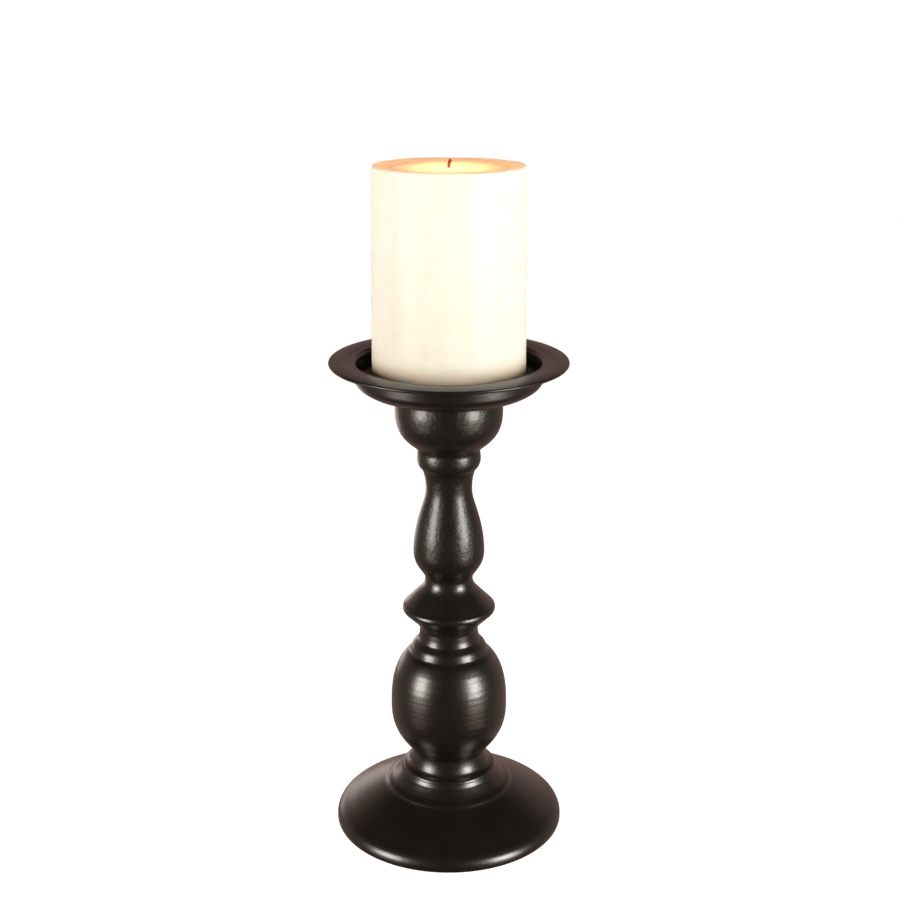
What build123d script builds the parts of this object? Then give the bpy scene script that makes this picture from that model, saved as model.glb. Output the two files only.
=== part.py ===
"""Turned candlestick for a pillar candle.

Five turned hardwood pieces stack spigot-into-socket on one threaded tie rod.  The rod runs
from a nut sunk in the underside of the foot to a flush sleeve nut in the floor of a thin
spun pan, and draws the stack together.  A pillar candle stands loose in the pan.

Millimetres, +Z up, origin on the table at the middle of the foot.
"""

import os
from math import cos, radians, sin

from build123d import *

# --- driving dimensions ---------------------------------------------------------------

PAD_T = 1.2            # felt under the foot
PAD_R = 57.0
FOOT_R = 60.0          # widest radius of the foot
FOOT_H = 39.7          # foot, from the felt to its top shoulder
URN_H = 69.5           # urn-shaped lower baluster, shoulder to shoulder
KNOP_H = 28.0          # double-cone knop
VASE_H = 69.8          # vase-shaped upper baluster with its collar
CUP_H = 29.3           # cup that carries the pan
PAN_R = 59.4           # outer radius of the pan's rolled rim
PAN_DEPTH = 15.35      # pan floor to the crown of its flange
SHEET_T = 1.2          # spun sheet
CANDLE_R = 38.1        # at the bottom of the candle
CANDLE_TOP_R = 37.0    # moulding draft makes the top a little smaller
CANDLE_H = 109.95
HEEL_R = 2.5           # rounding at the foot of the candle

ROD_R = 3.0            # M6 thread, outer radius
ROD_BORE_R = 3.3       # drilled way for the rod
NUT_BORE_R = 3.05
NUT_FLATS = 10.0
NUT_T = 5.0
WASHER_R = 9.0
WASHER_T = 1.6
SPRING_WASHER_R = 5.9
SPRING_WASHER_T = 1.5
SPRING_WASHER_GAP = 1.2
NUT_WELL_R = 11.5      # counterbore in the underside of the foot
NUT_WELL_TOP = 14.0

SPIGOT_FIT = 0.08      # radial glue gap round a turned spigot
SPIGOT_RELIEF = 1.0    # a socket is this much deeper than its spigot
URN_SPIGOT = (9.0, 12.0)     # radius and length of the urn's spigot, down into the foot
KNOP_SPIGOT = (7.5, 10.0)    # the knop's spigot, down into the urn
VASE_SPIGOT = (6.4, 10.0)    # the vase's lower spigot, down into the knop
COLLAR_SPIGOT = (8.0, 10.0)  # the vase's upper spigot, up into the cup

SLEEVE_R = 4.0         # shank of the flush sleeve nut
SLEEVE_HEAD_R = 7.0
SLEEVE_L = 15.0
SLEEVE_SOCKET = 4.0    # hexagon key size
SLEEVE_CLEAR = 0.3     # radial room for the shank in the pan and the cup
HEAD_CLEAR = 0.1       # room between the conical head and the dimple

WICK_R = 0.8
POOL_DEPTH = 1.3       # melt pool below the candle's lip
TAB_R = 9.0            # wick sustainer
TAB_T = 0.5
TAB_NECK_R = 2.0
TAB_NECK_H = 6.0
CAST_GAP = 0.05        # wax stands this far off what is cast into it

# --- levels ---------------------------------------------------------------------------

foot_top = PAD_T + FOOT_H
urn_top = foot_top + URN_H
knop_top = urn_top + KNOP_H
vase_top = knop_top + VASE_H
cup_top = vase_top + CUP_H
pan_floor = cup_top + SHEET_T
candle_top = pan_floor + CANDLE_H
pool_level = candle_top - POOL_DEPTH
rod_low = PAD_T + 2.3
rod_high = pan_floor - 7.0

os.makedirs("parts", exist_ok=True)


def lathe_plane(level):
    """Drawing plane of a turning: x is the radius, y the height above the level."""
    return Plane(origin=(0, 0, level), x_dir=(1, 0, 0), z_dir=(0, -1, 0))


def finish(builder, name):
    """Label a finished piece and write its STEP file."""
    builder.part.label = name
    export_step(builder.part, f"parts/{name}.step")


# --- felt pad -------------------------------------------------------------------------

with BuildPart() as felt_pad:
    with BuildSketch():
        Circle(PAD_R)
    extrude(amount=PAD_T)
finish(felt_pad, "felt_pad")

# --- foot -----------------------------------------------------------------------------
# A low dome with a rounded rim, a soft rise to a coved disc, one small step and a flared
# neck that runs up to the shoulder.

with BuildPart() as foot:
    with BuildSketch(lathe_plane(PAD_T)):
        with BuildLine():
            underside = Line((0, 0), (FOOT_R - 0.3, 0))
            edge = ThreePointArc(underside @ 1, (FOOT_R - 0.09, 0.09), (FOOT_R, 0.3))
            side = Line(edge @ 1, (FOOT_R, 1.9))
            rim = Spline(side @ 1, (59.1, 4.7), (57.2, 6.7), (54.0, 8.7), (49.6, 11.4),
                         tangents=((0, 1), (-1.7, 1)))
            dome = Spline(rim @ 1, (42.0, 15.7), (36.5, 18.6), tangents=((-1.7, 1), (-1.9, 1)))
            disc = Spline(dome @ 1, (34.0, 20.15), (32.2, 21.8), (29.0, 24.4), (25.4, 27.7),
                          tangents=((-1.9, 1), (-0.9, 1)))
            step = Line(disc @ 1, (24.6, 29.5))
            step_edge = ThreePointArc(step @ 1, (24.25, 30.7), (23.2, 31.5))
            neck = Spline(step_edge @ 1, (21.4, 32.9), (20.3, 35.2), (19.2, FOOT_H),
                          tangents=((-1, 0.5), (-0.05, 1)))
            shoulder = Line(neck @ 1, (0, FOOT_H))
            Line(shoulder @ 1, underside @ 0)
        make_face()
    revolve(axis=Axis.Z)
    with BuildSketch(Plane.XY.offset(foot_top)):
        Circle(URN_SPIGOT[0] + SPIGOT_FIT)
    extrude(amount=-(URN_SPIGOT[1] + SPIGOT_RELIEF), mode=Mode.SUBTRACT)
    with BuildSketch(Plane.XY.offset(PAD_T)):
        Circle(NUT_WELL_R)
    extrude(amount=NUT_WELL_TOP - PAD_T, mode=Mode.SUBTRACT)
    with BuildSketch(Plane.XY.offset(PAD_T)):
        Circle(ROD_BORE_R)
    extrude(amount=FOOT_H, mode=Mode.SUBTRACT)
finish(foot, "foot")

# --- lower baluster: an urn with a stepped shoulder and a neck ------------------------

with BuildPart() as lower_baluster:
    with BuildSketch(lathe_plane(foot_top)):
        with BuildLine():
            spigot_end = Line((0, -URN_SPIGOT[1]), (URN_SPIGOT[0], -URN_SPIGOT[1]))
            spigot = Line(spigot_end @ 1, (URN_SPIGOT[0], 0))
            seat = Line(spigot @ 1, (19.2, 0))
            under = Spline(seat @ 1, (22.2, 4.4), (26.5, 10.4), (29.5, 18.0), (30.3, 25.5),
                           tangents=((0.5, 1), (0, 1)))
            belly = Spline(under @ 1, (29.6, 38.5), (26.8, 48.5), (22.4, 55.2), tangents=((0, 1), (-0.95, 1)))
            groove = Spline(belly @ 1, (20.9, 56.4), (19.85, 57.9), tangents=((-0.95, 1), (-0.35, 1)))
            bead = ThreePointArc(groove @ 1, (19.3, 59.7), (18.45, 61.1))
            lip = Line(bead @ 1, (16.35, 63.2))
            cove = Spline(lip @ 1, (15.5, 65.3), (15.1, URN_H), tangents=((-0.8, 1), (0, 1)))
            top = Line(cove @ 1, (0, URN_H))
            Line(top @ 1, spigot_end @ 0)
        make_face()
    revolve(axis=Axis.Z)
    with BuildSketch(Plane.XY.offset(urn_top)):
        Circle(KNOP_SPIGOT[0] + SPIGOT_FIT)
    extrude(amount=-(KNOP_SPIGOT[1] + SPIGOT_RELIEF), mode=Mode.SUBTRACT)
    with BuildSketch(Plane.XY.offset(urn_top)):
        Circle(ROD_BORE_R)
    extrude(amount=-(URN_H + URN_SPIGOT[1]), mode=Mode.SUBTRACT)
finish(lower_baluster, "lower_baluster")

# --- knop: a double cone with a rounded edge ------------------------------------------

with BuildPart() as knop:
    with BuildSketch(lathe_plane(urn_top)):
        with BuildLine():
            spigot_end = Line((0, -KNOP_SPIGOT[1]), (KNOP_SPIGOT[0], -KNOP_SPIGOT[1]))
            spigot = Line(spigot_end @ 1, (KNOP_SPIGOT[0], 0))
            seat = Line(spigot @ 1, (15.1, 0))
            flare = Spline(seat @ 1, (16.4, 3.1), (19.8, 6.6), tangents=((0.05, 1), (1.1, 1)))
            under = Line(flare @ 1, (22.9, 9.7))
            edge = ThreePointArc(under @ 1, (23.95, 11.8), (22.7, 13.9))
            cone = Line(edge @ 1, (16.4, 20.4))
            cove = Spline(cone @ 1, (13.4, 23.9), (12.2, KNOP_H), tangents=((-0.97, 1), (0, 1)))
            top = Line(cove @ 1, (0, KNOP_H))
            Line(top @ 1, spigot_end @ 0)
        make_face()
    revolve(axis=Axis.Z)
    with BuildSketch(Plane.XY.offset(knop_top)):
        Circle(VASE_SPIGOT[0] + SPIGOT_FIT)
    extrude(amount=-(VASE_SPIGOT[1] + SPIGOT_RELIEF), mode=Mode.SUBTRACT)
    with BuildSketch(Plane.XY.offset(knop_top)):
        Circle(ROD_BORE_R)
    extrude(amount=-(KNOP_H + KNOP_SPIGOT[1]), mode=Mode.SUBTRACT)
finish(knop, "knop")

# --- upper baluster: a long vase, narrow throat and a round collar --------------------

with BuildPart() as upper_baluster:
    with BuildSketch(lathe_plane(knop_top)):
        with BuildLine():
            low_end = Line((0, -VASE_SPIGOT[1]), (VASE_SPIGOT[0], -VASE_SPIGOT[1]))
            low_spigot = Line(low_end @ 1, (VASE_SPIGOT[0], 0))
            seat = Line(low_spigot @ 1, (12.2, 0))
            waist = Spline(seat @ 1, (14.0, 4.0), (17.2, 9.4), (18.15, 14.7), tangents=((0, 1), (0, 1)))
            vase = Spline(waist @ 1, (16.6, 28.5), (13.8, 38.7), (11.75, 48.3), tangents=((0, 1), (0, 1)))
            throat = Spline(vase @ 1, (12.3, 54.9), (13.6, 59.1), tangents=((0, 1), (0.5, 1)))
            collar_low = ThreePointArc(throat @ 1, (15.2, 61.0), (15.95, 63.3))
            collar = ThreePointArc(collar_low @ 1, (16.08, 64.8), (16.0, 66.2))
            collar_edge = Spline(collar @ 1, (15.65, 68.1), (14.5, VASE_H), tangents=((-0.05, 1), (-1, 0.8)))
            ledge = Line(collar_edge @ 1, (COLLAR_SPIGOT[0], VASE_H))
            high_spigot = Line(ledge @ 1, (COLLAR_SPIGOT[0], VASE_H + COLLAR_SPIGOT[1]))
            high_end = Line(high_spigot @ 1, (0, VASE_H + COLLAR_SPIGOT[1]))
            Line(high_end @ 1, low_end @ 0)
        make_face()
    revolve(axis=Axis.Z)
    with BuildSketch(Plane.XY.offset(knop_top - VASE_SPIGOT[1])):
        Circle(ROD_BORE_R)
    extrude(amount=VASE_SPIGOT[1] + VASE_H + COLLAR_SPIGOT[1], mode=Mode.SUBTRACT)
finish(upper_baluster, "upper_baluster")

# --- cup: a short round bowl on a small lip -------------------------------------------
# Its top is countersunk for the dimple in the pan and counterbored for the sleeve nut.

dimple_drop = SLEEVE_HEAD_R - SLEEVE_R + 2 * HEAD_CLEAR
hole_r = SLEEVE_R + SLEEVE_CLEAR
dimple_r = hole_r + dimple_drop
dimple_skin = SHEET_T / cos(radians(45)) - SHEET_T   # extra radius of the dimple's underside
sleeve_bore_depth = SLEEVE_L + 3.0

with BuildPart() as cup:
    with BuildSketch(lathe_plane(vase_top)):
        with BuildLine():
            seat = Line((0, 0), (15.6, 0))
            lip = ThreePointArc(seat @ 1, (16.5, 0.4), (17.2, 1.2))
            under = Spline(lip @ 1, (21.6, 4.9), (25.2, 9.9), (27.0, 19.6), tangents=((0.75, 0.6), (0, 1)))
            shoulder = Spline(under @ 1, (26.7, 23.2), (25.6, 26.8), (24.2, CUP_H),
                              tangents=((0, 1), (-0.65, 1)))
            top = Line(shoulder @ 1, (0, CUP_H))
            Line(top @ 1, seat @ 0)
        make_face()
    revolve(axis=Axis.Z)
    with BuildSketch(Plane.XY.offset(vase_top)):
        Circle(COLLAR_SPIGOT[0] + SPIGOT_FIT)
    extrude(amount=COLLAR_SPIGOT[1] + SPIGOT_RELIEF, mode=Mode.SUBTRACT)
    with BuildSketch(Plane.XY.offset(vase_top)):
        Circle(ROD_BORE_R)
    extrude(amount=CUP_H, mode=Mode.SUBTRACT)
    with BuildSketch(Plane.XY.offset(cup_top)):
        Circle(hole_r)
    extrude(amount=-sleeve_bore_depth, mode=Mode.SUBTRACT)
    with BuildSketch(lathe_plane(cup_top)):
        sink_r = dimple_r + dimple_skin + HEAD_CLEAR
        Polygon((0, 0), (sink_r, 0), (0, -sink_r), align=None)
    revolve(axis=Axis.Z, mode=Mode.SUBTRACT)
finish(cup, "cup")

# --- pan: spun sheet, flat floor, round bottom corner, upright wall, crowned flange ---
# The flange ends in a rolled rim, half as thick again as the sheet.

wall_r = 46.8
corner_r = 35.5        # radius where the floor starts to turn up
wall_low = 7.4         # heights above the floor's underside
wall_high = 13.55
flange_in = 49.4
crown = PAN_DEPTH + SHEET_T

with BuildPart() as candle_pan:
    with BuildSketch(lathe_plane(cup_top)):
        with BuildLine():
            hole_edge = Line((hole_r, -dimple_drop - dimple_skin), (hole_r, SHEET_T - dimple_drop))
            dimple_top = Line(hole_edge @ 1, (dimple_r, SHEET_T))
            floor_top = Line(dimple_top @ 1, (corner_r + 0.5, SHEET_T))
            inside = Spline(floor_top @ 1, (41.3, 2.9), (wall_r - SHEET_T, wall_low + 0.2),
                            tangents=((1, 0), (0, 1)))
            wall_in = Line(inside @ 1, (wall_r - SHEET_T, wall_high))
            lip = ThreePointArc(wall_in @ 1, (wall_r - 0.5, wall_high + 1.9), (flange_in - 0.6, crown - 0.45))
            flange_top = ThreePointArc(lip @ 1, (53.6, crown), (PAN_R - 1.1, crown - 0.35))
            rim_out = ThreePointArc(flange_top @ 1, (PAN_R, crown - 1.25), (PAN_R - 1.1, crown - 2.1))
            rim_in = ThreePointArc(rim_out @ 1, (PAN_R - 1.9, crown - 1.85), (PAN_R - 2.8, crown - 1.55))
            flange_under = ThreePointArc(rim_in @ 1, (52.6, crown - 1.3), (flange_in, crown - 1.6))
            lip_under = ThreePointArc(flange_under @ 1, (wall_r + 0.75, wall_high + 0.8),
                                      (wall_r, wall_high - 0.7))
            wall_out = Line(lip_under @ 1, (wall_r, wall_low))
            outside = Spline(wall_out @ 1, (42.1, 2.0), (corner_r, 0), tangents=((0, -1), (-1, 0)))
            floor_under = Line(outside @ 1, (dimple_r + dimple_skin, 0))
            Line(floor_under @ 1, hole_edge @ 0)
        make_face()
    revolve(axis=Axis.Z)
finish(candle_pan, "candle_pan")

# --- tie rod and its fasteners --------------------------------------------------------

with BuildPart() as tie_rod:
    with BuildSketch(Plane.XY.offset(rod_low)):
        Circle(ROD_R)
    extrude(amount=rod_high - rod_low)
    chamfer(tie_rod.edges(), 0.5)
finish(tie_rod, "tie_rod")

washer_low = NUT_WELL_TOP - WASHER_T
spring_low = washer_low - SPRING_WASHER_T
nut_low = spring_low - NUT_T

with BuildPart() as flat_washer:
    with BuildSketch(Plane.XY.offset(washer_low)):
        Circle(WASHER_R)
        Circle(ROD_R + 0.2, mode=Mode.SUBTRACT)
    extrude(amount=WASHER_T)
finish(flat_washer, "flat_washer")

with BuildPart() as spring_washer:
    with BuildSketch(Plane.XY.offset(spring_low)):
        Circle(SPRING_WASHER_R)
        Circle(ROD_R + 0.15, mode=Mode.SUBTRACT)
        with Locations((SPRING_WASHER_R / 2, 0)):
            Rectangle(SPRING_WASHER_R + 1, SPRING_WASHER_GAP, mode=Mode.SUBTRACT)
    extrude(amount=SPRING_WASHER_T)
finish(spring_washer, "spring_washer")

with BuildPart() as hex_nut:
    with BuildSketch(Plane.XY.offset(nut_low)):
        RegularPolygon(NUT_FLATS / 2, 6, major_radius=False)
        Circle(NUT_BORE_R, mode=Mode.SUBTRACT)
    extrude(amount=NUT_T)
finish(hex_nut, "hex_nut")

# The sleeve nut's conical head sits flush in the dimple, and its shank takes the rod.
head_top = pan_floor - HEAD_CLEAR
head_drop = SLEEVE_HEAD_R - SLEEVE_R
sleeve_low = head_top - SLEEVE_L
thread_depth = SLEEVE_L - 4.5
socket_depth = 2.6

with BuildPart() as sleeve_nut:
    with BuildSketch(lathe_plane(head_top)):
        with BuildLine():
            Polyline(
                (0, 0),
                (SLEEVE_HEAD_R, 0),
                (SLEEVE_R, -head_drop),
                (SLEEVE_R, -SLEEVE_L),
                (0, -SLEEVE_L),
                close=True,
            )
        make_face()
    revolve(axis=Axis.Z)
    with BuildSketch(Plane.XY.offset(sleeve_low)):
        Circle(NUT_BORE_R)
    extrude(amount=thread_depth, mode=Mode.SUBTRACT)
    with BuildSketch(Plane.XY.offset(head_top)):
        RegularPolygon(SLEEVE_SOCKET / 2, 6, major_radius=False)
    extrude(amount=-socket_depth, mode=Mode.SUBTRACT)
finish(sleeve_nut, "sleeve_nut")

# --- candle: cast wax, wick and the metal tab that holds the wick ---------------------

with BuildPart() as candle_wax:
    with BuildSketch(lathe_plane(pan_floor)):
        with BuildLine():
            base_line = Line((0, 0), (CANDLE_R - HEEL_R, 0))
            heel = RadiusArc(base_line @ 1, (CANDLE_R, HEEL_R), -HEEL_R)
            side = Line(heel @ 1, (CANDLE_TOP_R, CANDLE_H - 1.2))
            lip = ThreePointArc(side @ 1, (CANDLE_TOP_R - 0.35, CANDLE_H - 0.35),
                                (CANDLE_TOP_R - 1.2, CANDLE_H))
            bank = Spline(lip @ 1, (33.6, CANDLE_H - 0.45), (29.0, CANDLE_H - POOL_DEPTH),
                          tangents=((-1, 0), (-1, -0.05)))
            pool = Line(bank @ 1, (0, CANDLE_H - POOL_DEPTH))
            Line(pool @ 1, base_line @ 0)
        make_face()
    revolve(axis=Axis.Z)
    with BuildSketch(Plane.XY.offset(pan_floor)):
        Circle(WICK_R + CAST_GAP)
    extrude(amount=CANDLE_H, mode=Mode.SUBTRACT)
    with BuildSketch(Plane.XY.offset(pan_floor)):
        Circle(TAB_R + CAST_GAP)
    extrude(amount=TAB_T + 0.4, mode=Mode.SUBTRACT)
    with BuildSketch(Plane.XY.offset(pan_floor)):
        Circle(TAB_NECK_R + CAST_GAP)
    extrude(amount=TAB_NECK_H + 0.5, mode=Mode.SUBTRACT)
finish(candle_wax, "candle_wax")

tab_low = pan_floor + 0.35

with BuildPart() as wick_tab:
    with BuildSketch(Plane.XY.offset(tab_low)):
        Circle(TAB_R)
        Circle(WICK_R + CAST_GAP, mode=Mode.SUBTRACT)
    extrude(amount=TAB_T)
    with BuildSketch(Plane.XY.offset(tab_low)):
        Circle(TAB_NECK_R)
        Circle(WICK_R + CAST_GAP, mode=Mode.SUBTRACT)
    extrude(amount=TAB_NECK_H)
finish(wick_tab, "wick_tab")

# The wick stands straight in the wax and curls over a little above the pool.
curl_r = 7.0
curl_turn = 28.0
curl_start = pool_level + 0.6
wick_low = tab_low + 0.3

with BuildPart() as wick:
    with BuildLine() as wick_path:
        straight = Line((0, 0, wick_low), (0, 0, curl_start))
        curl = ThreePointArc(
            straight @ 1,
            (
                curl_r * (1 - cos(radians(curl_turn / 2))),
                0,
                curl_start + curl_r * sin(radians(curl_turn / 2)),
            ),
            (
                curl_r * (1 - cos(radians(curl_turn))),
                0,
                curl_start + curl_r * sin(radians(curl_turn)),
            ),
        )
    with BuildSketch(Plane.XY.offset(wick_low)):
        Circle(WICK_R)
    sweep(path=wick_path.line)
finish(wick, "wick")

for piece in (felt_pad, foot, lower_baluster, knop, upper_baluster, cup, candle_pan):
    box = piece.part.bounding_box()
    print(f"{piece.part.label:16s} z {box.min.Z:7.2f} to {box.max.Z:7.2f}  r {box.max.X:6.2f}")
print("wick top", round(wick.part.bounding_box().max.Z, 2))
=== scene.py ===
"""Looks of a turned pillar candlestick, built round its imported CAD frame.

Every turned or spun piece is a surface of revolution: a drawn outline of (radius, height)
carried round the Z axis.  Lengths inside the drawing functions are millimetres from the
piece's own seat; `MM` turns them to metres, and seats come from the frame's node boxes.
"""

from math import atan2, cos, pi, radians, sin

import bpy
import numpy as np
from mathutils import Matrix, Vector


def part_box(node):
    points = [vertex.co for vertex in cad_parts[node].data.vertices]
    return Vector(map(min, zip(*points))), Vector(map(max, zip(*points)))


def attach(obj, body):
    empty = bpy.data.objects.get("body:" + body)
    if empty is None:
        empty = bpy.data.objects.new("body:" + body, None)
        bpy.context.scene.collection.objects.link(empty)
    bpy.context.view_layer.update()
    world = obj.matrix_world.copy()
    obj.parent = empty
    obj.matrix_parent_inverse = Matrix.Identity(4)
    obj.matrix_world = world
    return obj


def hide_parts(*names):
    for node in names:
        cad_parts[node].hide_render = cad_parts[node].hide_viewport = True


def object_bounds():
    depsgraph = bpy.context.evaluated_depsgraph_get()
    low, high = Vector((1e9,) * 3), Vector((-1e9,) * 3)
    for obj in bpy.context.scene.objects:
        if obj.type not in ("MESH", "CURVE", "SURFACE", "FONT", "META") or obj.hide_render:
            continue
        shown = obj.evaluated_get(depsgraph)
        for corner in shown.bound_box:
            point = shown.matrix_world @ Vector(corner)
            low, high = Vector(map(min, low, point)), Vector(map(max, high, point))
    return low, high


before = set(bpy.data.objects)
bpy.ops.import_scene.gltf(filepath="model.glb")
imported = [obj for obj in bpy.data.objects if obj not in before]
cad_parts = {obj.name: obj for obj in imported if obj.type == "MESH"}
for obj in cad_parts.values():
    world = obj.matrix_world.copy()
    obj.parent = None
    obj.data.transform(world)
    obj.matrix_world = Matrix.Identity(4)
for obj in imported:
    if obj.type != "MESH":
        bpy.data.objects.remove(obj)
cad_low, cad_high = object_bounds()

MM = 0.001
ROUND = 240            # facets round a turned piece
FINE = 0.35            # spacing of rows where an outline shows, mm
COARSE = 6.0           # spacing of rows inside bores and spigots, mm
SOFT_ARRIS = 0.16      # how far paint rounds every arris, mm
SHARP_ANGLE = 50       # a fold steeper than this shows as an edge, degrees


# --- drawing outlines -----------------------------------------------------------------

def line(start, end):
    """Straight stretch: the two end points."""
    return np.array([start, end], float)


def arc(start, via, end, count=24):
    """Circular arc through three points: the centre is where the two chord bisectors meet,
    and the angle runs evenly from the first point through the second to the third."""
    a, b, c = (np.array(p, float) for p in (start, via, end))
    rows = np.array([b - a, c - b]) * 2
    centre = np.linalg.solve(rows, [b @ b - a @ a, c @ c - b @ b])
    radius = np.linalg.norm(a - centre)
    first, middle, last = (atan2(*(p - centre)[::-1]) for p in (a, b, c))
    turn = (last - first) % (2 * pi)
    if (middle - first) % (2 * pi) > turn:
        turn -= 2 * pi
    angle = first + turn * np.linspace(0, 1, count)
    return centre + radius * np.stack([np.cos(angle), np.sin(angle)], 1)


def curve(points, leave, arrive, count=48):
    """Clamped cubic spline: each span is a cubic in the chord length, the second derivatives
    match where spans meet, and the end directions are the two given ones."""
    p = np.array(points, float)
    chord = np.linalg.norm(np.diff(p, axis=0), axis=1)
    knots = np.concatenate([[0], np.cumsum(chord)])
    n = len(p)
    system = np.zeros((n, n))
    right = np.zeros((n, 2))
    system[0, 0] = 1
    system[-1, -1] = 1
    right[0] = np.array(leave, float) / np.linalg.norm(leave)
    right[-1] = np.array(arrive, float) / np.linalg.norm(arrive)
    inner = np.arange(1, n - 1)
    before, after = chord[inner - 1], chord[inner]
    system[inner, inner - 1] = 1 / before
    system[inner, inner] = 2 / before + 2 / after
    system[inner, inner + 1] = 1 / after
    right[inner] = 3 * ((p[inner] - p[inner - 1]) / before[:, None] ** 2
                        + (p[inner + 1] - p[inner]) / after[:, None] ** 2)
    slope = np.linalg.solve(system, right)
    t = np.linspace(0, knots[-1], count)
    span = np.clip(np.searchsorted(knots, t, side="right") - 1, 0, n - 2)
    h = chord[span][:, None]
    u = ((t - knots[span]) / chord[span])[:, None]
    return ((2 * u**3 - 3 * u**2 + 1) * p[span] + (u**3 - 2 * u**2 + u) * h * slope[span]
            + (3 * u**2 - 2 * u**3) * p[span + 1] + (u**3 - u**2) * h * slope[span + 1])


def even_rows(stretches, spacing):
    """Joins stretches end to end and places rows an even distance apart along them."""
    path = np.concatenate(stretches)
    step = np.linalg.norm(np.diff(path, axis=0), axis=1)
    keep = np.concatenate([[True], step > 1e-9])
    path = path[keep]
    along = np.concatenate([[0], np.cumsum(np.linalg.norm(np.diff(path, axis=0), axis=1))])
    count = max(2, int(np.ceil(along[-1] / spacing)) + 1)
    at = np.linspace(0, along[-1], count)
    return np.stack([np.interp(at, along, path[:, k]) for k in (0, 1)], 1)


def painted_outline(stretches, spacing=FINE, soften=SOFT_ARRIS):
    """Even rows whose arrises are rounded as paint rounds them: each row is a bell-weighted
    mean of its neighbours within about two softening lengths, and the end rows stay."""
    fine = spacing / 4
    rows = even_rows(stretches, fine)
    reach = int(np.ceil(3 * soften / fine))
    weight = np.exp(-0.5 * (np.arange(-reach, reach + 1) * fine / soften) ** 2)
    weight /= weight.sum()
    padded = np.concatenate([2 * rows[0] - rows[reach:0:-1], rows,
                             2 * rows[-1] - rows[-2:-reach - 2:-1]])
    smooth = np.stack([np.convolve(padded[:, k], weight, "valid") for k in (0, 1)], 1)
    smooth[0], smooth[-1] = rows[0], rows[-1]
    return even_rows([smooth], spacing)


# --- meshes ---------------------------------------------------------------------------

def make_piece(name, verts, faces, body, material):
    """A mesh object at the origin with smooth faces, one material, riding on a body."""
    mesh = bpy.data.meshes.new(name)
    mesh.from_pydata(verts.tolist(), [], faces)
    mesh.shade_smooth()
    mesh.set_sharp_from_angle(angle=radians(SHARP_ANGLE))
    mesh.materials.append(material)
    piece = bpy.data.objects.new(name, mesh)
    bpy.context.scene.collection.objects.link(piece)
    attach(piece, body)
    return piece


def grid_faces(rows, columns, wrap_rows):
    """Quads of a grid that closes round its columns, and round its rows when asked.
    Rows run with the solid on their left, so the faces point outwards."""
    row = np.arange(rows if wrap_rows else rows - 1)[:, None]
    column = np.arange(columns)[None, :]
    following = (row + 1) % rows
    beside = (column + 1) % columns
    quads = np.stack([row * columns + column, row * columns + beside,
                      following * columns + beside, following * columns + column], -1)
    return quads.reshape(-1, 4).tolist()


def surface_of_revolution(outline, wander=None, around=ROUND, dish=False):
    """x = r cos t, y = r sin t, z = h for each outline point (r, h) and angle t.  An outline
    that starts and ends on the axis gets a pole at each end; a dish has an open rim and a
    pole at its last row; any other outline closes on itself.
    wander(t, h), if given, is how far the surface stands off the drawn one, in mm, along the
    outline's outward normal."""
    poled = outline[0, 0] < 1e-6 and outline[-1, 0] < 1e-6
    body = outline[1:-1] if poled else outline[:-1] if dish else outline
    angle = np.arange(around) * 2 * pi / around
    r = np.repeat(body[:, :1], around, 1)
    h = np.repeat(body[:, 1:], around, 1)
    if wander is not None:
        tangent = np.gradient(body, axis=0)
        tangent /= np.linalg.norm(tangent, axis=1)[:, None]
        off = wander(np.repeat(angle[None, :], len(body), 0), h)
        r = r + off * tangent[:, 1:]
        h = h - off * tangent[:, :1]
    verts = np.stack([r * np.cos(angle), r * np.sin(angle), h], -1).reshape(-1, 3)
    faces = grid_faces(len(body), around, not (poled or dish))
    ring = np.arange(around)
    beside = (ring + 1) % around
    last = (len(body) - 1) * around
    if dish:
        faces += np.stack([np.full(around, len(verts)), last + ring, last + beside], 1).tolist()
        verts = np.concatenate([verts, [[0, 0, outline[-1, 1]]]])
    if poled:
        low, high = len(verts), len(verts) + 1
        verts = np.concatenate([verts, [[0, 0, outline[0, 1]], [0, 0, outline[-1, 1]]]])
        faces += np.stack([np.full(around, low), beside, ring], 1).tolist()
        faces += np.stack([np.full(around, high), last + ring, last + beside], 1).tolist()
    return verts * MM, faces


def hand_turned(seed, depth, waves=9):
    """Small waviness left by the gouge and by sanding: a sum of cosines along the axis,
    each with a slow change round the piece.  Returns the stand-off in mm."""
    draw = np.random.default_rng(seed)
    along = 2 * pi / draw.uniform(1.6, 9.0, waves)
    lobes = draw.integers(0, 4, waves)
    shift = draw.uniform(0, 2 * pi, (2, waves))
    size = depth * draw.uniform(0.4, 1.0, waves) / np.sqrt(waves)

    def wander(angle, height):
        total = np.zeros_like(angle)
        for k in range(waves):
            total += size[k] * np.cos(along[k] * height + shift[0, k]
                                      + 0.5 * np.sin(lobes[k] * angle + shift[1, k]))
        return total
    return wander


# --- materials ------------------------------------------------------------------------

def linear(code):
    """sRGB hex code to linear red, green, blue and an alpha of 1."""
    part = np.array([int(code[i:i + 2], 16) / 255 for i in (0, 2, 4)])
    value = np.where(part <= 0.04045, part / 12.92, ((part + 0.055) / 1.055) ** 2.4)
    return (*value.tolist(), 1.0)


def add(tree, kind, settings=(), **links):
    """Adds a node with its settings.  A link value is a socket; any other value is a default.
    Link names are socket names, or `in0`, `in1`... for sockets by place."""
    node = tree.nodes.new("ShaderNode" + kind)
    for key, value in dict(settings).items():
        setattr(node, key, value)
    for key, value in links.items():
        by_place = key[:2] == "in" and key[2:].isdigit()
        socket = node.inputs[int(key[2:]) if by_place else key]
        if isinstance(value, bpy.types.NodeSocket):
            tree.links.new(value, socket)
        else:
            socket.default_value = value
    return node


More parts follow.
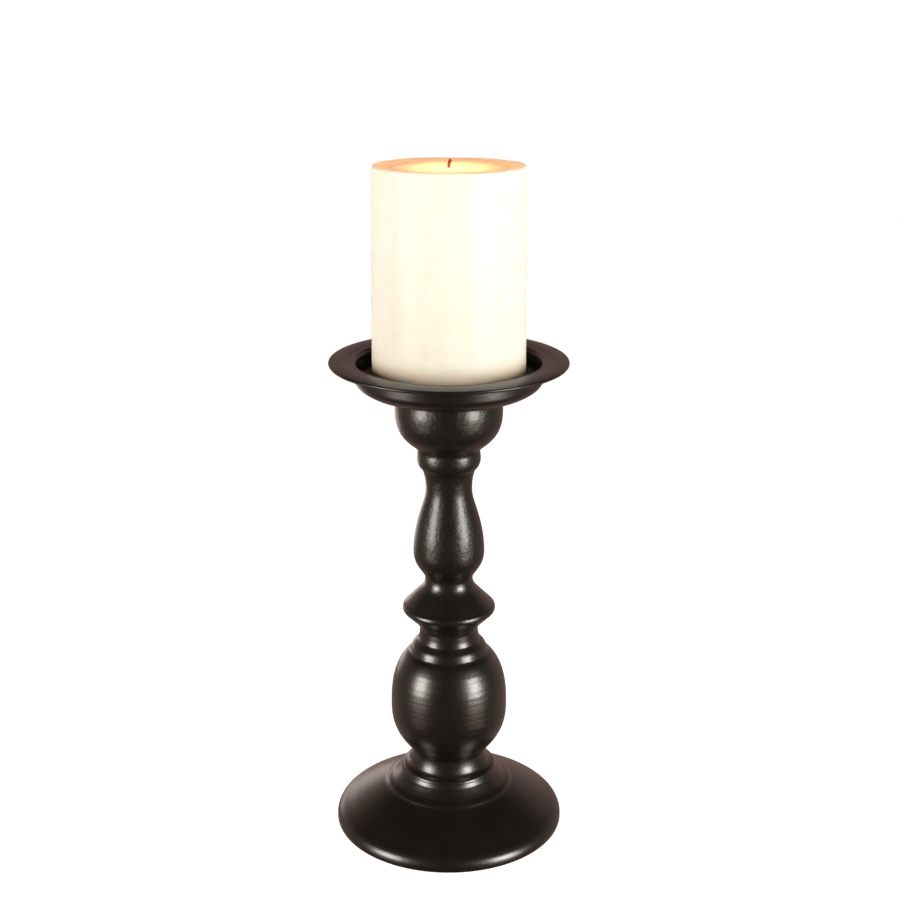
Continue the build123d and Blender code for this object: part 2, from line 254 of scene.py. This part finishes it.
def new_material(name, **shader):
    """An empty node material with one Principled shader, and the shader's constants set."""
    material = bpy.data.materials.new(name)
    material.use_nodes = True
    tree = material.node_tree
    tree.nodes.clear()
    output = add(tree, "OutputMaterial")
    principled = add(tree, "BsdfPrincipled")
    for key, value in shader.items():
        principled.inputs[key.replace("_", " ")].default_value = value
    tree.links.new(principled.outputs[0], output.inputs[0])
    return material, tree, principled


def ramp(tree, factor, stops):
    """Colour ramp: stops are (place, hex colour)."""
    node = add(tree, "ValToRGB", in0=factor)
    elements = node.color_ramp.elements
    for k, (place, code) in enumerate(stops):
        element = elements[k] if k < 2 else elements.new(place)
        element.position = place
        element.color = linear(code)
    return node.outputs[0]


def around_axis(tree, turns_scale, height_scale):
    """Pattern space of a turning: the unit direction from the axis times one scale, and the
    height times another, so that a noise read there runs in rings."""
    place = add(tree, "TexCoord").outputs["Object"]
    flat = add(tree, "VectorMath", {"operation": "MULTIPLY"}, in0=place, in1=(1, 1, 0))
    way = add(tree, "VectorMath", {"operation": "NORMALIZE"}, in0=flat.outputs[0])
    way = add(tree, "VectorMath", {"operation": "SCALE"}, in0=way.outputs[0], Scale=turns_scale)
    up = add(tree, "VectorMath", {"operation": "MULTIPLY"}, in0=place, in1=(0, 0, height_scale))
    sum_of_both = add(tree, "VectorMath", {"operation": "ADD"}, in0=way.outputs[0], in1=up.outputs[0])
    return sum_of_both.outputs[0]


def stretched(tree, across, along):
    """Pattern space of straight grain: X and Y times one scale, Z times another."""
    place = add(tree, "TexCoord").outputs["Object"]
    scaled = add(tree, "VectorMath", {"operation": "MULTIPLY"}, in0=place, in1=(across, across, along))
    return scaled.outputs[0]


def satin_espresso_paint(name, grain, rings, lumps, gloss, shine):
    """Satin espresso paint, sprayed over turned hardwood or spun steel.  Near black with a
    brown cast; the gloss is soft, and the highlights break up where wood pores and lathe
    rings telegraph through the film.  grain, rings and lumps are bump depths in metres, and
    gloss is the film's lowest roughness; shine is how strongly it reflects."""
    material, tree, shader = new_material(name, IOR=1.5, Specular_IOR_Level=shine, Coat_Weight=0.3,
                                          Coat_Roughness=0.25)
    # Pigment clouding, about 12 mm across, so thin that it only shifts the brown.
    cloud = add(tree, "TexNoise", Scale=80.0, Detail=3.0, Roughness=0.55,
                Vector=add(tree, "TexCoord").outputs["Object"])
    shade = ramp(tree, cloud.outputs[0], [(0.3, "0C0A08"), (0.7, "120F0C")])
    # Fine dust nibs and rubbed spots, about 0.5 mm.
    dust = add(tree, "TexNoise", Scale=1900.0, Detail=1.0,
               Vector=add(tree, "TexCoord").outputs["Object"])
    spot = add(tree, "MapRange", in0=dust.outputs[0], in1=0.76, in2=0.80, in3=0.0, in4=0.5)
    colour = add(tree, "Mix", {"data_type": "RGBA"}, in0=spot.outputs[0], in6=shade, in7=linear("3A322C"))
    tree.links.new(colour.outputs[2], shader.inputs["Base Color"])
    # Pores run up the blank: 0.6 mm wide and some 12 mm long.
    pore = add(tree, "TexNoise", Scale=1.0, Detail=4.0, Roughness=0.6,
               Vector=stretched(tree, 1500.0, 85.0))
    # Lathe rings: about 0.7 mm apart, broken slowly round the piece.
    ring = add(tree, "TexNoise", Scale=1.0, Detail=3.0, Roughness=0.6,
               Vector=around_axis(tree, 1.3, 1400.0))
    rough = add(tree, "MapRange", in0=pore.outputs[0], in1=0.3, in2=0.7, in3=gloss, in4=gloss + 0.08)
    tree.links.new(rough.outputs[0], shader.inputs["Roughness"])
    # Lumps in the film, about 2 mm across, that wrinkle the highlights.
    peel = add(tree, "TexNoise", Scale=420.0, Detail=2.0, Vector=add(tree, "TexCoord").outputs["Object"])
    bump = add(tree, "Bump", Strength=1.0, Distance=lumps, Height=peel.outputs[0])
    bump = add(tree, "Bump", Strength=1.0, Distance=rings, Height=ring.outputs[0], Normal=bump.outputs[0])
    if grain:
        bump = add(tree, "Bump", Strength=1.0, Distance=grain, Height=pore.outputs[0],
                   Normal=bump.outputs[0])
    tree.links.new(bump.outputs[0], shader.inputs["Normal"])
    return material


def ivory_paraffin():
    """Ivory paraffin wax, poured in a smooth mould.  Light sinks in and comes out warm, the
    skin has a faint frost of crystals, and the wax nearest the wick is lit from inside."""
    low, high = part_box("candle_wax")
    material, tree, shader = new_material("ivory_paraffin_wax", IOR=1.44, Subsurface_Weight=1.0,
                                          Subsurface_Radius=(1.0, 0.84, 0.70), Subsurface_Scale=0.008,
                                          Specular_IOR_Level=0.4)
    place = add(tree, "TexCoord").outputs["Object"]
    frost = add(tree, "TexNoise", Scale=160.0, Detail=5.0, Roughness=0.6, Vector=place)
    colour = ramp(tree, frost.outputs[0], [(0.3, "D4D3C9"), (0.7, "DBDAD1")])
    # Painted shade: the heel is tinted beige where it sits down in the dark dish. The tint stands in for the
    # shade there and for the warm light bounced off the brown pan.
    height = add(tree, "SeparateXYZ", in0=place).outputs[2]
    heel = add(tree, "MapRange", {"interpolation_type": "SMOOTHSTEP"}, in0=height,
               in1=low.z + 0.010, in2=low.z + 0.024, in3=0.8, in4=0.0)
    colour = add(tree, "Mix", {"data_type": "RGBA"}, in0=heel.outputs[0], in6=colour, in7=linear("D2BFA2"))
    tree.links.new(colour.outputs[2], shader.inputs["Base Color"])
    rough = add(tree, "MapRange", in0=frost.outputs[0], in1=0.3, in2=0.7, in3=0.36, in4=0.5)
    # Glow of the burning wick inside the wax: it starts near the heel and rises to the lip,
    # and over the pool it is yellow by the wick and orange at the edge.
    flat = add(tree, "VectorMath", {"operation": "MULTIPLY"}, in0=place, in1=(1, 1, 0))
    radius = add(tree, "VectorMath", {"operation": "LENGTH"}, in0=flat.outputs[0]).outputs["Value"]
    near = add(tree, "MapRange", {"interpolation_type": "SMOOTHERSTEP"}, in0=height,
               in1=high.z - 0.105, in2=high.z, in3=0.0, in4=0.14)
    wick_side = add(tree, "MapRange", {"interpolation_type": "SMOOTHSTEP"}, in0=radius,
                    in1=0.034, in2=0.008, in3=0.0, in4=1.0)
    on_top = add(tree, "MapRange", in0=height, in1=high.z - 0.0030, in2=high.z - 0.0016, in3=0.0, in4=0.30)
    glow = add(tree, "Math", {"operation": "MULTIPLY_ADD"}, in0=wick_side.outputs[0], in1=on_top.outputs[0],
               in2=near.outputs[0])
    tree.links.new(glow.outputs[0], shader.inputs["Emission Strength"])
    warmth = add(tree, "MapRange", in0=radius, in1=0.0, in2=0.038)
    tree.links.new(ramp(tree, warmth.outputs[0], [(0.0, "FFF2B8"), (0.45, "FFE8A8"), (0.74, "FFC48A"),
                                                (0.94, "FFD3A8"), (0.985, "FFEEDF")]),
                   shader.inputs["Emission Color"])
    # The melt pool is liquid, and so is smooth.
    solid = add(tree, "MapRange", in0=radius, in1=0.0275, in2=0.0305)
    below = add(tree, "MapRange", in0=height, in1=high.z - 0.0020, in2=high.z - 0.0026)
    solid = add(tree, "Math", {"operation": "MAXIMUM"}, in0=solid.outputs[0], in1=below.outputs[0])
    gloss = add(tree, "Mix", in0=solid.outputs[0], in2=0.06, in3=rough.outputs[0])
    tree.links.new(gloss.outputs[0], shader.inputs["Roughness"])
    ripple = add(tree, "TexNoise", Scale=90.0, Detail=2.0, Vector=place)
    bump = add(tree, "Bump", Strength=1.0, Distance=0.00012, Height=ripple.outputs[0])
    bump = add(tree, "Bump", Strength=1.0, Distance=0.00001, Height=frost.outputs[0],
               Normal=bump.outputs[0])
    tree.links.new(bump.outputs[0], shader.inputs["Normal"])
    return material


def charred_cotton():
    """Braided cotton wick: soaked and cream below the pool, burnt black above, with rust-red and red-brown
    towards the tip that are painted ember glow.
    """
    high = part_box("wick")[1]
    material, tree, shader = new_material("charred_cotton_braid", Roughness=0.85)
    height = add(tree, "SeparateXYZ", in0=add(tree, "TexCoord").outputs["Object"]).outputs[2]
    burn = add(tree, "MapRange", in0=height, in1=high.z - 0.009, in2=high.z)
    flake = add(tree, "TexNoise", Scale=1500.0, Detail=3.0, Vector=add(tree, "TexCoord").outputs["Object"])
    mixed = add(tree, "Math", {"operation": "MULTIPLY_ADD"}, in0=flake.outputs[0], in1=0.25,
                in2=burn.outputs[0])
    # Painted glow: the rust-red and red-brown stops stand in for the glowing ember on the black char.
    colour = ramp(tree, mixed.outputs[0], [(0.2, "C9A070"), (0.4, "3A1810"), (0.65, "7A3216"),
                                           (1.0, "4A1C10")])
    tree.links.new(colour, shader.inputs["Base Color"])
    bump = add(tree, "Bump", Strength=1.0, Distance=0.00008, Height=flake.outputs[0])
    tree.links.new(bump.outputs[0], shader.inputs["Normal"])
    return material


def plated_steel(name, code, gloss):
    """Plated mild steel: a bright grey metal with faint turning lines and a little bloom."""
    material, tree, shader = new_material(name, Metallic=1.0)
    place = add(tree, "TexCoord").outputs["Object"]
    bloom = add(tree, "TexNoise", Scale=420.0, Detail=4.0, Vector=place)
    dark = "".join(f"{int(int(code[i:i + 2], 16) * 0.8):02X}" for i in (0, 2, 4))
    tree.links.new(ramp(tree, bloom.outputs[0], [(0.3, dark), (0.7, code)]), shader.inputs["Base Color"])
    rough = add(tree, "MapRange", in0=bloom.outputs[0], in1=0.3, in2=0.7, in3=gloss, in4=gloss + 0.16)
    tree.links.new(rough.outputs[0], shader.inputs["Roughness"])
    line_marks = add(tree, "TexNoise", Scale=1.0, Detail=2.0, Vector=around_axis(tree, 2.0, 6000.0))
    bump = add(tree, "Bump", Strength=0.6, Distance=0.00001, Height=line_marks.outputs[0])
    tree.links.new(bump.outputs[0], shader.inputs["Normal"])
    return material


def pressed_felt():
    """Pressed wool felt, charcoal brown: matted short fibres, no gloss, a soft edge light."""
    material, tree, shader = new_material("pressed_wool_felt", Roughness=1.0, Specular_IOR_Level=0.1,
                                          Sheen_Weight=0.4, Sheen_Roughness=0.6)
    place = add(tree, "TexCoord").outputs["Object"]
    fibre = add(tree, "TexNoise", Scale=2600.0, Detail=5.0, Roughness=0.75, Distortion=1.2, Vector=place)
    tree.links.new(ramp(tree, fibre.outputs[0], [(0.3, "15110F"), (0.7, "3A332E")]),
                   shader.inputs["Base Color"])
    bump = add(tree, "Bump", Strength=1.0, Distance=0.00025, Height=fibre.outputs[0])
    tree.links.new(bump.outputs[0], shader.inputs["Normal"])
    return material


# --- the holder's turned pieces -------------------------------------------------------

SPIGOT_FIT = 0.08      # glue gap round a spigot, mm
RELIEF = 1.0           # a socket is this much deeper than its spigot, mm
ROD_BORE = 3.3
FOOT_NECK = 19.2       # radius where the foot meets the urn, mm
URN_NECK = 15.1        # where the urn meets the knop
KNOP_NECK = 12.2       # where the knop meets the vase
LEDGE = 13.0           # where the joint of vase and cup turns out of sight
URN_SPIGOT = (9.0, 12.0)
KNOP_SPIGOT = (7.5, 10.0)
VASE_SPIGOT = (6.4, 10.0)
COLLAR_SPIGOT = (8.0, 10.0)


def seat_of(node, drop=0.0):
    """Height of a node's lower shoulder in mm: the bottom of its box, above any spigot."""
    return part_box(node)[0].z / MM + drop


def socket_rows(top, spigot, mouth_out):
    """Wall and floor of a socket cut down from a top face, ending in the rod's bore."""
    wall = spigot[0] + SPIGOT_FIT
    floor = top - spigot[1] - RELIEF
    return even_rows([line((mouth_out, top), (wall, top)), line((wall, top), (wall, floor)),
                      line((wall, floor), (ROD_BORE, floor))], COARSE)


def closed_outline(*runs):
    """Runs of rows joined head to tail into one loop, without the doubled rows."""
    rows = np.concatenate(runs)
    gap = np.linalg.norm(rows - np.roll(rows, 1, axis=0), axis=1)
    return rows[gap > 1e-4]


def raised(outline, level):
    """The outline lifted so that its zero height is at a level."""
    return outline + [0, level]


def foot_outline(height=39.7, radius=59.97):
    """Low dome, rounded rim, a soft rise to a coved disc, one small step and a flared neck."""
    shown = painted_outline([
        line((radius - 5.0, 0), (radius - 0.3, 0)),
        arc((radius - 0.3, 0), (radius - 0.09, 0.09), (radius, 0.3)),
        line((radius, 0.3), (radius, 1.9)),
        curve([(radius, 1.9), (59.1, 4.7), (57.2, 6.7), (54.0, 8.7), (49.6, 11.4)], (0, 1), (-1.7, 1)),
        curve([(49.6, 11.4), (42.0, 15.7), (36.5, 18.6)], (-1.7, 1), (-1.9, 1)),
        curve([(36.5, 18.6), (34.0, 19.95), (32.8, 21.0)], (-1.9, 1), (-0.8, 1)),
        curve([(32.8, 21.0), (31.9, 21.8), (30.3, 22.7), (28.2, 24.5), (25.4, 27.7)], (-0.8, 1), (-0.8, 1)),
        line((25.4, 27.7), (24.6, 29.5)),
        arc((24.6, 29.5), (24.25, 30.7), (23.2, 31.5)),
        curve([(23.2, 31.5), (21.4, 32.8), (20.1, 35.1), (19.4, 37.4), (FOOT_NECK, height)],
              (-1, 0.5), (0, 1)),
    ])
    nut_well, well_top = 11.5, 12.8
    inside = even_rows([line((ROD_BORE, height - 13.0), (ROD_BORE, well_top)),
                        line((ROD_BORE, well_top), (nut_well, well_top)),
                        line((nut_well, well_top), (nut_well, 0)),
                        line((nut_well, 0), (radius - 5.0, 0))], COARSE)
    return closed_outline(shown, socket_rows(height, URN_SPIGOT, FOOT_NECK), inside)


def spigot_rows(spigot, shoulder, start):
    """From the rod's bore out along a spigot's end, up its side and out to the shoulder."""
    radius, length = spigot
    return even_rows([line((ROD_BORE, start - length), (radius, start - length)),
                      line((radius, start - length), (radius, start)),
                      line((radius, start), (shoulder, start))], COARSE)


def urn_outline(height=69.5):
    """Urn with a full belly, a steep step on its shoulder, and a coved neck."""
    shown = painted_outline([
        curve([(FOOT_NECK, 0), (22.2, 4.4), (26.5, 10.4), (29.5, 18.0), (30.3, 25.5)], (0.5, 1), (0, 1)),
        curve([(30.3, 25.5), (29.6, 38.5), (26.8, 48.5), (22.4, 55.2)], (0, 1), (-0.95, 1)),
        curve([(22.4, 55.2), (20.9, 56.4), (19.85, 57.9)], (-0.95, 1), (-0.35, 1)),
        arc((19.85, 57.9), (19.3, 59.7), (18.45, 61.1)),
        line((18.45, 61.1), (16.35, 63.2)),
        curve([(16.35, 63.2), (15.5, 65.3), (URN_NECK, height)], (-0.8, 1), (0, 1)),
    ])
    return closed_outline(shown, socket_rows(height, KNOP_SPIGOT, URN_NECK),
                          spigot_rows(URN_SPIGOT, FOOT_NECK, 0.0))


def knop_outline(height=28.0):
    """Two cones back to back with a rounded edge, flared out of one neck into the next."""
    shown = painted_outline([
        curve([(URN_NECK, 0), (16.4, 3.1), (19.8, 6.6)], (0.05, 1), (1.1, 1)),
        line((19.8, 6.6), (22.9, 9.7)),
        arc((22.9, 9.7), (23.95, 11.8), (22.7, 13.9)),
        line((22.7, 13.9), (16.4, 20.4)),
        curve([(16.4, 20.4), (13.4, 23.9), (KNOP_NECK, height)], (-0.97, 1), (0, 1)),
    ])
    return closed_outline(shown, socket_rows(height, VASE_SPIGOT, KNOP_NECK),
                          spigot_rows(KNOP_SPIGOT, URN_NECK, 0.0))


def vase_outline(height=69.8):
    """Long vase, narrow throat, and a round collar that turns in at the top."""
    shown = painted_outline([
        curve([(KNOP_NECK, 0), (14.0, 4.0), (17.2, 9.4), (18.15, 14.7)], (0, 1), (0, 1)),
        curve([(18.15, 14.7), (16.6, 28.5), (13.8, 38.7), (11.75, 48.3)], (0, 1), (0, 1)),
        curve([(11.75, 48.3), (12.3, 54.9), (13.6, 59.1)], (0, 1), (0.5, 1)),
        arc((13.6, 59.1), (15.2, 61.0), (15.95, 63.3)),
        arc((15.95, 63.3), (16.08, 64.8), (16.0, 66.2)),
        curve([(16.0, 66.2), (15.65, 68.1), (14.5, height)], (-0.05, 1), (-1, 0.8)),
        line((14.5, height), (LEDGE, height)),
    ])
    radius, length = COLLAR_SPIGOT
    high = even_rows([line((LEDGE, height), (radius, height)),
                      line((radius, height), (radius, height + length)),
                      line((radius, height + length), (ROD_BORE, height + length))], COARSE)
    return closed_outline(shown, high, spigot_rows(VASE_SPIGOT, KNOP_NECK, 0.0))


def cup_outline(height=29.3):
    """Short round bowl on a small lip."""
    shown = painted_outline([
        line((LEDGE, 0), (15.6, 0)),
        arc((15.6, 0), (16.5, 0.4), (17.2, 1.2)),
        curve([(17.2, 1.2), (21.6, 4.9), (25.2, 9.9), (27.0, 19.6)], (0.75, 0.6), (0, 1)),
        curve([(27.0, 19.6), (26.7, 23.2), (25.6, 26.8), (24.2, height)], (0, 1), (-0.65, 1)),
        line((24.2, height), (23.0, height)),
    ])
    sink, sleeve, depth = 8.1, 4.3, 18.0
    wall = COLLAR_SPIGOT[0] + SPIGOT_FIT
    floor = COLLAR_SPIGOT[1] + RELIEF
    hidden = even_rows([line((23.0, height), (sink, height)),
                        line((sink, height), (sleeve, height - sink + sleeve)),
                        line((sleeve, height - sink + sleeve), (sleeve, floor)),
                        line((sleeve, floor), (wall, floor)), line((wall, floor), (wall, 0)),
                        line((wall, 0), (LEDGE, 0))], COARSE)
    return closed_outline(shown, hidden)


def pan_outline(depth=16.55):
    """Spun dish of one sheet: dimple, flat floor, round corner, upright wall, rounded lip,
    crowned flange and rolled rim, then back along the underside."""
    sheet, wall, high, rim = 1.2, 46.8, 13.55, 59.4
    hole, dimple, skin = 4.3, 7.5, 0.5
    return painted_outline([
        line((hole, sheet - dimple + hole), (dimple, sheet)),
        line((dimple, sheet), (36.0, sheet)),
        curve([(36.0, sheet), (41.3, 2.9), (wall - sheet, 7.6)], (1, 0), (0, 1)),
        line((wall - sheet, 7.6), (wall - sheet, high)),
        arc((wall - sheet, high), (wall - 0.5, high + 1.9), (48.8, depth - 0.45)),
        arc((48.8, depth - 0.45), (53.6, depth), (rim - 1.1, depth - 0.35)),
        arc((rim - 1.1, depth - 0.35), (rim, depth - 1.25), (rim - 1.1, depth - 2.1)),
        arc((rim - 1.1, depth - 2.1), (rim - 1.9, depth - 1.85), (rim - 2.8, depth - 1.55)),
        arc((rim - 2.8, depth - 1.55), (52.6, depth - 1.3), (49.4, depth - 1.6)),
        arc((49.4, depth - 1.6), (wall + 0.75, high + 0.8), (wall, high - 0.7)),
        line((wall, high - 0.7), (wall, 7.4)),
        curve([(wall, 7.4), (42.1, 2.0), (35.5, 0)], (0, -1), (-1, 0)),
        line((35.5, 0), (dimple + skin, 0)),
        line((dimple + skin, 0), (hole, hole - dimple - skin)),
        line((hole, hole - dimple - skin), (hole, sheet - dimple + hole)),
    ], soften=0.12)[:-1][::-1]


smooth_paint = satin_espresso_paint("satin_paint_on_hardwood", grain=0.00002, rings=0.00006, lumps=0.00004,
                                    gloss=0.27, shine=0.5)
lumpy_paint = satin_espresso_paint("lumpy_paint_on_hardwood", grain=0.00004, rings=0.00005, lumps=0.00027,
                                   gloss=0.33, shine=0.34)
painted_steel = satin_espresso_paint("satin_paint_on_spun_steel", grain=0, rings=0.00002, lumps=0.00009,
                                     gloss=0.34, shine=0.30)

TURNED = (
    # node, outline, seat above the node's lowest point, seed, waviness in mm, paint
    ("foot", foot_outline, 0.0, 11, 0.010, smooth_paint),
    ("lower_baluster", urn_outline, URN_SPIGOT[1], 12, 0.022, smooth_paint),
    ("knop", knop_outline, KNOP_SPIGOT[1], 13, 0.010, smooth_paint),
    ("upper_baluster", vase_outline, VASE_SPIGOT[1], 14, 0.012, lumpy_paint),
    ("cup", cup_outline, 0.0, 15, 0.012, lumpy_paint),
)
for node, outline, drop, seed, waviness, paint in TURNED:
    verts, faces = surface_of_revolution(raised(outline(), seat_of(node, drop)), hand_turned(seed, waviness))
    turned = make_piece("turned_" + node, verts, faces, "holder", paint)
    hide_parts(node)

cup_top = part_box("cup")[1].z / MM
verts, faces = surface_of_revolution(raised(pan_outline(), cup_top))
pan = make_piece("spun_pan", verts, faces, "holder", painted_steel)
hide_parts("candle_pan")


# --- felt and hardware ----------------------------------------------------------------

zinc = plated_steel("zinc_plated_steel", "C3C6C8", 0.22)
tin = plated_steel("tin_plated_steel", "C9C6BC", 0.38)
felt = pressed_felt()

pad_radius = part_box("felt_pad")[1].x / MM
pad_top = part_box("felt_pad")[1].z / MM
pad_rows = painted_outline([line((0, 0), (pad_radius, 0)), line((pad_radius, 0), (pad_radius, pad_top)),
                            line((pad_radius, pad_top), (0, pad_top))], spacing=1.2, soften=0.2)
verts, faces = surface_of_revolution(pad_rows)
pad = make_piece("felt_disc", verts, faces, "holder", felt)
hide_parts("felt_pad")

for node in ("tie_rod", "flat_washer", "spring_washer", "hex_nut", "sleeve_nut"):
    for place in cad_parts[node].material_slots:
        place.material = zinc
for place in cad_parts["wick_tab"].material_slots:
    place.material = tin


# --- candle ---------------------------------------------------------------------------

POOL_RADIUS = 29.0     # melt pool, mm

wax = ivory_paraffin()
char = charred_cotton()


def candle_outline(height=109.95, heel=2.5, low_radius=38.1, top_radius=37.0, pool=1.3, bore=0.85):
    """Slightly tapered pillar: rounded heel, straight side, thin lip, a bank that dips to the
    melt pool, and the wick's bore with the pocket for the wick's tab."""
    tab, tab_t, neck, neck_t = 9.05, 0.9, 2.05, 6.5
    shown = painted_outline([
        arc((low_radius - heel, 0), (low_radius - 0.3 * heel, 0.3 * heel), (low_radius, heel)),
        line((low_radius, heel), (top_radius, height - 1.2)),
        arc((top_radius, height - 1.2), (top_radius - 0.35, height - 0.35), (top_radius - 1.2, height)),
        curve([(top_radius - 1.2, height), (33.6, height - 0.45), (POOL_RADIUS, height - pool)],
              (-1, 0), (-1, -0.05)),
        line((POOL_RADIUS, height - pool), (bore, height - pool)),
    ], spacing=0.6)
    inside = even_rows([line((bore, height - pool), (bore, neck_t)), line((bore, neck_t), (neck, neck_t)),
                        line((neck, neck_t), (neck, tab_t)), line((neck, tab_t), (tab, tab_t)),
                        line((tab, tab_t), (tab, 0)), line((tab, 0), (low_radius - heel, 0))], COARSE)
    return closed_outline(shown, inside)


def lean_the_lip(verts, crest, lean=0.95, bank=5.0, down=7.0):
    """The lip has burnt down unevenly: it stands `lean` mm high at -Y and low at +Y.  The lift
    is -lean y / 37 mm, times two ramps: one from the pool's edge out over the bank, and one
    from `down` mm below the crest up to it, so that the pool and the side stay true."""
    x, y, z = verts.T / MM
    outward = np.clip((np.hypot(x, y) - POOL_RADIUS) / bank, 0, 1)
    upward = np.clip((z - crest + down) / (down - 1.0), 0, 1)
    uneven = 0.10 * np.sin(3 * np.arctan2(y, x) + 0.8) + 0.06 * np.sin(7 * np.arctan2(y, x))
    verts[:, 2] += (uneven - lean * y / 37.0) * outward**1.5 * upward**2 * MM
    return verts


pan_floor, wax_top = (corner.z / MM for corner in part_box("candle_wax"))
verts, faces = surface_of_revolution(raised(candle_outline(), pan_floor))
verts = lean_the_lip(verts, wax_top)
candle = make_piece("pillar_candle", verts, faces, "candle", wax)
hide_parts("candle_wax")

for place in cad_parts["wick"].material_slots:
    place.material = char


# --- stage, lights and camera ---------------------------------------------------------

def studio_bowl(flat=2.4, bend=1.4, wall=2.4):
    """White floor that curves up into a wall all round: a straight run, a quarter circle and
    a straight run, carried round the Z axis.  It is seen by the camera only, and the room's
    light comes from the world and the lamps."""
    turn = np.linspace(0, pi / 2, 24)
    r = np.concatenate([[0.0, 0.3, 0.8], flat + bend * np.sin(turn), [flat + bend]])
    h = np.concatenate([[0.0, 0.0, 0.0], bend - bend * np.cos(turn), [bend + wall]])
    outline = np.stack([r, h], 1)[::-1] / MM
    verts, faces = surface_of_revolution(outline, around=96, dish=True)
    mesh = bpy.data.meshes.new("studio_bowl")
    mesh.from_pydata(verts.tolist(), [], faces)
    mesh.shade_smooth()
    material, tree, shader = new_material("lit_white_paper", Roughness=0.9, Specular_IOR_Level=0.0,
                                          Emission_Strength=1.0)
    paper = add(tree, "TexNoise", Scale=5.0, Vector=add(tree, "TexCoord").outputs["Object"])
    tree.links.new(ramp(tree, paper.outputs[0], [(0.3, "888887"), (0.7, "8C8C8B")]),
                   shader.inputs["Base Color"])
    shader.inputs["Emission Color"].default_value = (1, 1, 1, 1)
    mesh.materials.append(material)
    bowl = bpy.data.objects.new("studio_bowl", mesh)
    bowl.visible_glossy = False
    bowl.visible_diffuse = False
    bowl.visible_shadow = False
    bpy.context.scene.collection.objects.link(bowl)


def dim_room():
    """World light: a brown table below, a pale wall behind at eye level, a dim room in front
    and a dark ceiling, each fading into the next by the direction's height and depth."""
    world = bpy.data.worlds.new("dim_room")
    world.use_nodes = True
    tree = world.node_tree
    split = add(tree, "SeparateXYZ", in0=add(tree, "TexCoord").outputs["Generated"])
    depth, height = split.outputs[1], split.outputs[2]
    behind = add(tree, "MapRange", {"interpolation_type": "SMOOTHSTEP"}, in0=depth, in1=-0.1, in2=0.6)
    above = add(tree, "MapRange", {"interpolation_type": "SMOOTHSTEP"}, in0=height, in1=0.32, in2=0.66)
    below = add(tree, "MapRange", {"interpolation_type": "SMOOTHSTEP"}, in0=height, in1=-0.06, in2=-0.24)
    wall = ramp(tree, behind.outputs[0], [(0.0, "38322F"), (1.0, "B1948C")])
    table = ramp(tree, behind.outputs[0], [(0.0, "504742"), (0.45, "9F8279")])
    room = add(tree, "Mix", {"data_type": "RGBA"}, in0=above.outputs[0], in6=wall, in7=linear("332E2C"))
    room = add(tree, "Mix", {"data_type": "RGBA"}, in0=below.outputs[0], in6=room.outputs[2], in7=table)
    tree.links.new(room.outputs[2], tree.nodes["Background"].inputs[0])
    bpy.context.scene.world = world


def softbox(name, azimuth, elevation, distance, width, height, power, colour, target, glossy=True):
    """Rectangular soft light, placed round the object and turned to face the target."""
    data = bpy.data.lights.new(name, "AREA")
    data.shape = "RECTANGLE"
    data.size = width
    data.size_y = height
    data.energy = power
    data.color = linear(colour)[:3]
    light = bpy.data.objects.new(name, data)
    a, e = radians(azimuth), radians(elevation)
    way = Vector((sin(a) * cos(e), -cos(a) * cos(e), sin(e)))
    light.location = Vector(target) + way * distance
    light.rotation_euler = way.to_track_quat("Z", "Y").to_euler()
    light.visible_camera = False
    light.visible_glossy = glossy
    bpy.context.scene.collection.objects.link(light)


studio_bowl()
dim_room()
middle = Vector((0, 0, (cad_low.z + cad_high.z) / 2))
softbox("softbox_left", -60, 7, 1.25, 0.50, 0.66, 20, "FFF6EC", middle)
softbox("softbox_right", 54, 7, 1.25, 0.50, 0.66, 23, "FFFAF2", middle)
softbox("table_sheen_left", -60, -19, 1.25, 0.60, 0.44, 1.5, "FFD9C8", middle)
softbox("table_sheen_right", 54, -19, 1.25, 0.60, 0.44, 1.9, "FFD9C8", middle)
softbox("low_rim_left", -150, -13, 0.55, 0.30, 0.16, 0.22, "FFF3E8", middle)
softbox("front_fill", 35, 40, 1.4, 1.1, 1.1, 2.3, "FFF2E2", middle, glossy=False)

flame = bpy.data.lights.new("wick_glow", "POINT")
flame.energy = 0.12
flame.color = linear("FFA24A")[:3]
flame.shadow_soft_size = 0.004
flame_place = bpy.data.objects.new("wick_glow", flame)
flame_place.location = (0.001, 0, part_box("wick")[1].z + 0.008)
flame_place.visible_camera = False
flame_place.visible_glossy = False
bpy.context.scene.collection.objects.link(flame_place)

bpy.context.scene.view_settings.view_transform = "Standard"

EYE_BACK = 0.7435
EYE_UP = 0.4454
EYE_TILT = 18.12
lens = bpy.data.cameras.new("studio_camera")
lens.lens = 61.1
lens.shift_x = 0.0012
lens.shift_y = 0.0006
camera = bpy.data.objects.new("studio_camera", lens)
camera.location = (0, -EYE_BACK, EYE_UP)
camera.rotation_euler = (radians(90 - EYE_TILT), 0, 0)
bpy.context.scene.collection.objects.link(camera)
bpy.context.scene.camera = camera
